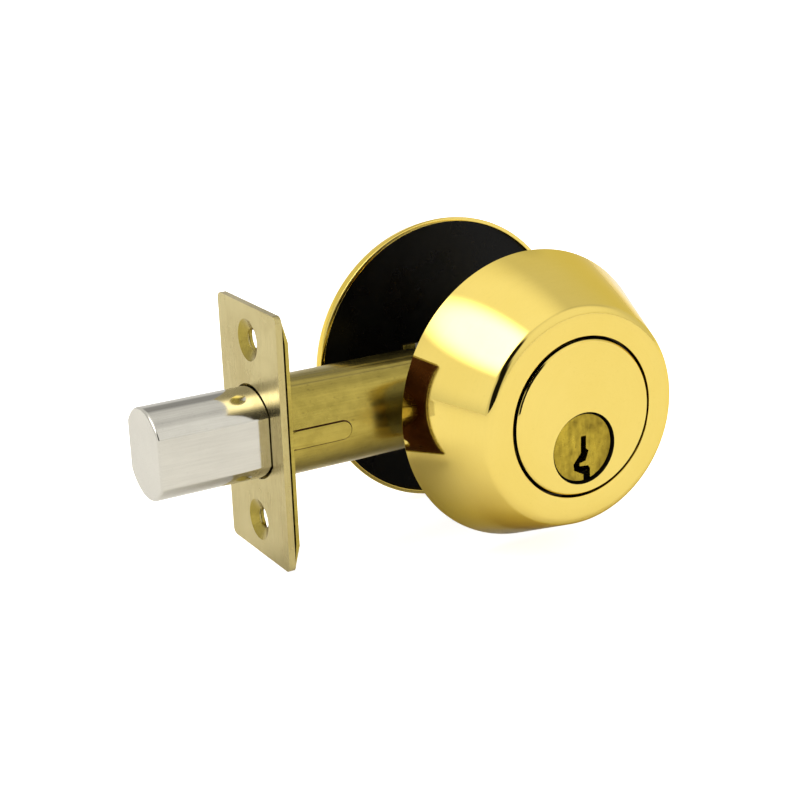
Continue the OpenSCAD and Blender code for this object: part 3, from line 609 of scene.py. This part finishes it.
def guard_ring():
    """The hardened insert, zinc on its rear and painted black elsewhere as painted shade in the gap
    round the cylinder.
    """
    piece = finished_copy("guard_insert", "guard_ring", 0.12)
    # Painted shade: the insert is black so the gap round the cylinder reads dark.
    adopt(piece, HOME["guard_insert"], ["guard_insert"], blackened_pin_and_gap_shade)
    face_finish(piece, zinc, lambda at, normal: normal.y > 0.5)


GROOVE_IN, GROOVE_OUT, GROOVE_DEPTH = 0.3, 0.6, 2.2  # from the plug's edge, and from the front


def cylinder_face():
    """The cylinder with a groove round its plug, the groove's walls painted near-black as painted
    shade.
    """
    front = HEAD_LOW[1]
    low_r, high_r = PLUG_R - GROOVE_IN, PLUG_R + GROOVE_OUT
    groove = turned("groove", [
        (low_r, front - PAST, 0), (high_r, front - PAST, 0),
        (high_r, front + GROOVE_DEPTH, 0), (low_r, front + GROOVE_DEPTH, 0)], PLUG_Z, steps=128)
    piece = finished_copy("cylinder_housing", "cylinder_head", 0.12, [groove])
    adopt(piece, "lockset", ["cylinder_housing"], polished)
    # The groove's walls take the painted shade.
    face_finish(piece, plug_gap_shade, lambda at, normal: front + 0.1 < at.y < front + GROOVE_DEPTH + 0.3
                and math.hypot(at.x, at.z - PLUG_Z) < high_r + 0.02)


PLUG_GAP_SHADE_DEPTH = 3


def plug():
    """The plug, its side just behind the face painted near-black as painted shade in the gap round
    it.
    """
    piece = finished_copy("key_plug", "keyed_plug", 0.1)
    adopt(piece, "plug", ["key_plug"], plug_brass)
    # Painted shade on the plug's side in the gap behind the face.
    face_finish(piece, plug_gap_shade, lambda at, normal: abs(normal.y) < 0.5
                and at.y < PLUG_LOW[1] + PLUG_GAP_SHADE_DEPTH
                and math.hypot(at.x, at.z - PLUG_Z) > PLUG_R - 0.5)


# ---------------------------------------------------------------- bolt, plates and tube

def flatted_bar(name, radius, across, x0, x1, sides=256):
    """A round bar along X with a flat on each side, cut by two bisecting planes."""
    piece = rod(name, radius, (x0, 0, 0), (x1, 0, 0), sides)
    bpy.ops.object.mode_set(mode="EDIT")
    for side in (-1, 1):
        bpy.ops.mesh.select_all(action="SELECT")
        bpy.ops.mesh.bisect(plane_co=(0, side * across / 2 * MM, 0), plane_no=(0, side, 0),
                            use_fill=True, clear_outer=True, threshold=1e-7)
    bpy.ops.object.mode_set(mode="OBJECT")
    return piece


NOSE_BEVEL = 0.7
FORK_HALF, FORK_LOW, FORK_HIGH = 1.05, 1.9, 7.1  # the tail's slot: half its width, its heights
FORK_ROOM = 0.2
EDGE_BEVEL = 0.16  # rounding of the bolt's and the face plate's edges


def bolt_bar():
    """The bolt, with the slot for its tail and the bore for its hard pin."""
    nose, end = BOLT_LOW[0], BOLT_HIGH[0]
    piece = flatted_bar("bolt_bar", BOLT_HIGH[2], 2 * BOLT_HIGH[1], nose, end)
    bpy.ops.object.mode_set(mode="EDIT")
    select_edges(piece, lambda a, b: a.x < nose + 0.01 and b.x < nose + 0.01)
    bpy.ops.mesh.bevel(offset=NOSE_BEVEL * MM, segments=3, profile=0.6)
    bpy.ops.object.mode_set(mode="OBJECT")
    tail_low, _ = box_mm("bolt_tail")
    slot = brick("slot", (tail_low[0] - FORK_ROOM, -FORK_HALF, FORK_LOW),
                 (end + PAST, FORK_HALF, FORK_HIGH))
    combine(piece, slot, "DIFFERENCE")
    pin_low, pin_high = box_mm("bolt_core_pin")
    pin_z = (pin_low[2] + pin_high[2]) / 2
    bore = rod("bore", (pin_high[2] - pin_low[2]) / 2, (pin_low[0], 0, pin_z),
               (end + PAST, 0, pin_z), 48)
    combine(piece, bore, "DIFFERENCE")
    soften(piece, EDGE_BEVEL, segments=3, angle=30)
    adopt(piece, "sliding_bolt", ["bolt"], nickel)


PLATE_CORNER_R = 1.5
OPENING_GAP = 0.45  # between the face plate's opening and the bolt
SCREW_HOLE_R = 2.3
SINK_R, SINK_TIP_R = 5.7, 2.1  # the countersink's cone where it starts and ends
SINK_START, SINK_STOP = 0.5, 0.2  # before the front, and short of the rear


def edge_plate():
    """The face plate with its opening and two countersunk holes."""
    front, rear = PLATE_LOW[0], PLATE_HIGH[0]
    piece = brick("edge_plate", PLATE_LOW, PLATE_HIGH)
    bpy.ops.object.mode_set(mode="EDIT")
    select_edges(piece, lambda a, b: abs(a.x - b.x) > 1)
    bpy.ops.mesh.bevel(offset=PLATE_CORNER_R * MM, segments=8)
    bpy.ops.object.mode_set(mode="OBJECT")
    across = 2 * BOLT_HIGH[1] + 2 * OPENING_GAP
    opening = flatted_bar("opening", BOLT_HIGH[2] + OPENING_GAP, across,
                          front - 2 * PAST, rear + 2 * PAST, 192)
    combine(piece, opening, "DIFFERENCE")
    for z in (-SCREW_Z, SCREW_Z):
        hole = rod("hole", SCREW_HOLE_R, (front - 2 * PAST, 0, z), (rear + 2 * PAST, 0, z), 64)
        combine(piece, hole, "DIFFERENCE")
        sink = rod("sink", SINK_R, (front - SINK_START, 0, z), (rear - SINK_STOP, 0, z),
                   tip_radius=SINK_TIP_R)
        combine(piece, sink, "DIFFERENCE")
    soften(piece, EDGE_BEVEL, segments=3, angle=24)
    adopt(piece, "lockset", ["face_plate"], plate_brass)
    face_finish(piece, tube_brass, lambda at, normal: -0.9 < normal.x < -0.2
                and math.hypot(at.y, abs(at.z) - SCREW_Z) < SINK_R - 1.1)


RIB_END, RIB_WIDTH, CREASE = BACK_HIGH[0] + 15.4, 4.0, 0.28
CREASE_FLOOR = -10.7  # y of the crease's floor, on the tube's street side
CREASE_TOP, CORE_FLOOR, CORE_TOP = -12.5, -9.6, -15.0


def stadium(name, width, x_end, deep, out):
    """A bar with one round end, standing through the tube's side from deep to out."""
    x_round = x_end - width / 2
    bar = brick(name, (BACK_HIGH[0] - 2, out, -width / 2), (x_round, deep, width / 2))
    end = rod("end", width / 2, (x_round, deep, 0), (x_round, out, 0), 48)
    return combine(bar, end, "UNION")


def formed_tube():
    """The bolt tube, with a crease round its rib on the street side, the crease's walls painted
    dark as painted shade.
    """
    crease = stadium("crease", RIB_WIDTH + 2 * CREASE, RIB_END + CREASE, CREASE_FLOOR, CREASE_TOP)
    core = stadium("core", RIB_WIDTH, RIB_END, CORE_FLOOR, CORE_TOP)
    combine(crease, core, "DIFFERENCE")
    piece = finished_copy("bolt_tube", "formed_tube", 0.08, [crease])
    adopt(piece, "lockset", ["bolt_tube"], tube_brass)
    # Painted shade on the walls of the crease round the rib.
    face_finish(piece, rear_and_crease_shade, lambda at, normal: abs(at.z) < 2.4 and 10.6 < abs(at.y)
                and math.hypot(at.y, at.z) < TUBE_R - 0.03)


BACK_HOLE_R = 3.3


def formed_backing():
    """The backing plate, its rear painted dark as painted shade, with room round the screws."""
    holes = [rod("screw room", BACK_HOLE_R, (BACK_LOW[0] - PAST, 0, z),
                 (BACK_HIGH[0] + PAST, 0, z), 64) for z in (-SCREW_Z, SCREW_Z)]
    piece = finished_copy("backing_plate", "formed_backing", 0.1, holes)
    adopt(piece, "lockset", ["backing_plate"], tube_brass)
    # Painted shade on the rear faces.
    face_finish(piece, rear_and_crease_shade, lambda at, normal: normal.x > 0.9)


# ---------------------------------------------------------------- inside trim

ROSE_WALL = 0.9
HUB_R = 4.05
MOUNT_HEAD_D = 7.6
HOLE_REACH = 3  # how far the cutters stand to either side of the rosette's top


def dished_rosette():
    """The thin dished disc, with holes for the spindle and the two long screws."""
    rim_y, top_y = ROSE_LOW[1], ROSE_HIGH[1]
    radius = (ROSE_HIGH[0] - ROSE_LOW[0]) / 2
    outside = [
        (0, top_y, 0), (radius - 8.2, top_y, 3), (radius - 1.6, top_y - 1.6, 3.2),
        (radius, rim_y + 0.9, 0.5), (radius, rim_y, 0.16)]
    inside = [
        (radius - ROSE_WALL, rim_y, 0.16), (radius - ROSE_WALL, rim_y + 1.4, 0.4),
        (radius - 2.6, top_y - 2.4, 2.4), (radius - 8.6, top_y - ROSE_WALL, 2.6),
        (0, top_y - ROSE_WALL, 0)]
    piece = turned("dished_rosette", outside + inside, AXIS_Z, closed=False)
    low_y, high_y = top_y - HOLE_REACH, top_y + HOLE_REACH
    hub = rod("hub hole", HUB_R, (0, low_y, PLUG_Z), (0, high_y, PLUG_Z))
    combine(piece, hub, "DIFFERENCE")
    screw_low, screw_high = box_mm("mounting_screws")
    screw_z = (screw_low[2] + screw_high[2]) / 2
    for side in (-1, 1):
        x = side * (screw_high[0] - screw_low[0] - MOUNT_HEAD_D) / 2
        hole = rod("screw hole", SCREW_HOLE_R, (x, low_y, screw_z), (x, high_y, screw_z), 48)
        combine(piece, hole, "DIFFERENCE")
    bpy.ops.object.shade_smooth_by_angle(angle=math.radians(TRIM_SMOOTH_ANGLE))
    adopt(piece, "lockset", ["rosette"], polished)


GRIP_GRID, GRIP_PASSES = 0.24, 14


def turn_grip():
    """The cast grip, its edges worn round by remeshing and smoothing."""
    piece = finished_copy("thumbturn", "turn_grip", 0.1)
    skin = piece.modifiers.new("skin", "REMESH")
    skin.mode = "VOXEL"
    skin.voxel_size = GRIP_GRID * MM
    skin.use_smooth_shade = True
    worn = piece.modifiers.new("worn", "SMOOTH")
    worn.factor = 0.5
    worn.iterations = GRIP_PASSES
    apply_modifiers(piece)
    adopt(piece, "turnpiece", ["thumbturn"], polished_turn)


# ---------------------------------------------------------------- nodes that keep their shape

# Node, name of the piece, rounding of its edges, finish
KEPT = [
    ("pin_chamber_cap", "chamber_strip", 0.08, machined),
    ("plug_cap", "plug_end_cap", 0.1, machined), ("tailpiece", "tail_blade", 0.06, zinc),
    ("crank", "crank_arm", 0.12, zinc), ("crank_pin", "drive_pin", 0.1, zinc),
    ("bolt_core_pin", "hard_pin", 0.15, blackened_pin_and_gap_shade), ("bolt_tail", "fork_tail", 0.1, zinc),
    ("tail_rivets", "bolt_rivets", 0.05, nickel), ("tube_end_plate", "tube_stop", 0.06, tube_brass),
    ("case_plate_outer", "case_side_outer", 0.08, tube_brass),
    ("case_plate_inner", "case_side_inner", 0.08, tube_brass),
    ("case_rivets", "case_studs", 0.12, zinc), ("detent_spring", "detent_leaf", 0.05, spring),
    ("mounting_plate", "backing_disc", 0.12, black_paint),
    ("mounting_screws", "long_screws", 0.08, polished_turn),
    ("thumbturn_washer", "turn_washer", 0.05, spring),
    ("thumbturn_clip", "turn_clip", 0.05, spring),
    ("thumbturn_spindle", "turn_spindle", 0.08, zinc)]
CHAMBERS = range(1, 6)
KEPT += [(f"bottom_pin_{i}", f"key_pin_{i}", 0.06, machined) for i in CHAMBERS]
KEPT += [(f"driver_pin_{i}", f"top_pin_{i}", 0.06, zinc) for i in CHAMBERS]


def kept_nodes():
    """Rounds and finishes every other node; the springs keep their own mesh."""
    for node, name, width, material in KEPT:
        adopt(finished_copy(node, name, width), HOME[node], [node], material)
    for i in CHAMBERS:
        coil = frame["nodes"][f"pin_spring_{i}"]
        coil.data.materials.clear()
        coil.data.materials.append(spring)


# ---------------------------------------------------------------- studio

CAMERA = {"azimuth": -29.73, "elevation": 18.07, "roll": -2.09, "distance": 376.46,
          "aim": (-23.31, 0.0, -0.07), "focal": 74.25}


def camera():
    """The eye, placed by the angles about a point and tilted by the roll."""
    az, el, roll = (math.radians(CAMERA[k]) for k in ("azimuth", "elevation", "roll"))
    back = Vector((math.sin(az) * math.cos(el), -math.cos(az) * math.cos(el), math.sin(el)))
    right = Vector((math.cos(az), math.sin(az), 0))
    up = back.cross(right)
    tilted_right = right * math.cos(roll) + up * math.sin(roll)
    tilted_up = up * math.cos(roll) - right * math.sin(roll)
    place = (Vector(CAMERA["aim"]) + back * CAMERA["distance"]) * MM
    data = bpy.data.cameras.new("camera")
    data.lens = CAMERA["focal"]
    data.clip_start = 0.01
    data.clip_end = 50
    eye = bpy.data.objects.new("camera", data)
    turn = Matrix((tilted_right, tilted_up, back)).transposed().to_4x4()
    eye.matrix_world = Matrix.Translation(place) @ turn
    bpy.context.scene.collection.objects.link(eye)
    bpy.context.scene.camera = eye


def softbox(name, place, aim, size, power):
    """A rectangular lamp, placed and sized in metres, that faces a point."""
    data = bpy.data.lights.new(name, "AREA")
    data.shape = "RECTANGLE"
    data.size, data.size_y = size
    data.energy = power
    lamp = bpy.data.objects.new(name, data)
    place, aim = Vector(place), Vector(aim)
    lamp.location = place
    lamp.rotation_euler = (place - aim).to_track_quat("Z", "Y").to_euler()
    bpy.context.scene.collection.objects.link(lamp)
    return lamp


def toward(azimuth, elevation):
    """Unit vector: azimuth 0 is the street side (-Y), 90 is +X, and elevation 90 is up."""
    az, el = math.radians(azimuth), math.radians(elevation)
    return Vector((math.sin(az) * math.cos(el), -math.cos(az) * math.cos(el), math.sin(el)))


WALLS = 0.77  # brightness between the soft areas
WALL_COLOUR = (1, 0.99, 0.965, 1)
# Soft areas of the studio's walls: azimuth, elevation, inner and outer half angle, brightness.
# A later one lies over an earlier one.
SOFT_AREAS = [
    (87, 67, 14, 42, 0.44), (140, 35, 20, 50, 0.74), (-155, 78, 10, 34, 1.12),
    (28, 40, 18, 50, 1.05), (152, 32, 7, 18, 0.36), (-98, 24, 10, 28, 1.05),
    (-101, 54, 9, 25, 5.0), (-36, 8, 18, 28, 0.01), (-44, 42, 14, 22, 0.01)]


def walls():
    """A room that is pale all round, with broad lighter and darker areas."""
    world = bpy.data.worlds.new("studio")
    world.use_nodes = True
    tree = world.node_tree
    background = tree.nodes["Background"]
    way = add(tree, "ShaderNodeTexCoord").outputs["Generated"]
    level = None
    for azimuth, elevation, inner, outer, brightness in SOFT_AREAS:
        dot = add(tree, "ShaderNodeVectorMath", operation="DOT_PRODUCT")
        tree.links.new(way, dot.inputs[0])
        dot.inputs[1].default_value = toward(azimuth, elevation)
        ramp = add(tree, "ShaderNodeMapRange", interpolation_type="SMOOTHSTEP")
        ramp.inputs["From Min"].default_value = math.cos(math.radians(outer))
        ramp.inputs["From Max"].default_value = math.cos(math.radians(inner))
        tree.links.new(dot.outputs["Value"], ramp.inputs["Value"])
        blend = add(tree, "ShaderNodeMix", data_type="FLOAT")
        tree.links.new(ramp.outputs["Result"], blend.inputs[0])
        if level is None:
            blend.inputs[2].default_value = WALLS
        else:
            tree.links.new(level, blend.inputs[2])
        blend.inputs[3].default_value = brightness
        level = blend.outputs[0]
    tree.links.new(level, background.inputs["Strength"])
    background.inputs["Color"].default_value = WALL_COLOUR
    bpy.context.scene.world = world


FLOOR_SIZE, FLOOR_DROP = 14, 0.0002  # in metres
FLOOR_TONES = (0.80, 0.79, 0.77), (0.82, 0.81, 0.79)
FLOOR_GLOW = 0.8  # only the eye sees it


def pale_floor():
    """A white sweep that stays white to the eye while its shade still shows in the metal."""
    bpy.ops.object.select_all(action="DESELECT")
    bpy.ops.mesh.primitive_plane_add(size=FLOOR_SIZE, location=(0, 0, cad_low[2] - FLOOR_DROP))
    floor = bpy.context.object
    floor.name = "floor"
    material = bpy.data.materials.new("pale floor")
    material.use_nodes = True
    tree = material.node_tree
    shader = tree.nodes["Principled BSDF"]
    coords = add(tree, "ShaderNodeTexCoord").outputs["Object"]
    tone = spread(tree, noise(tree, coords, 3, detail=2), 0.3, 0.7)
    tree.links.new(mix_colour(tree, tone, *FLOOR_TONES), shader.inputs["Base Color"])
    shader.inputs["Roughness"].default_value = 1.0
    shader.inputs["Specular IOR Level"].default_value = 0.0
    shader.inputs["Emission Color"].default_value = (1, 1, 1, 1)
    seen = add(tree, "ShaderNodeLightPath").outputs["Is Camera Ray"]
    glow = math_node(tree, "MULTIPLY", seen, FLOOR_GLOW)
    tree.links.new(glow, shader.inputs["Emission Strength"])
    floor.data.materials.append(material)


def studio():
    """The walls, the floor and one lamp that the metal doesn't mirror."""
    walls()
    pale_floor()
    overhead = softbox("overhead", (0.05, 0.1, 1.0), (0, 0, 0), (0.8, 0.8), 2.6)
    overhead.visible_glossy = False


for build in (guard_collar, guard_ring, cylinder_face, plug, bolt_bar, edge_plate, formed_tube,
              formed_backing, dished_rosette, turn_grip, kept_nodes, camera, studio):
    build()

bpy.context.scene.view_settings.view_transform = "Standard"
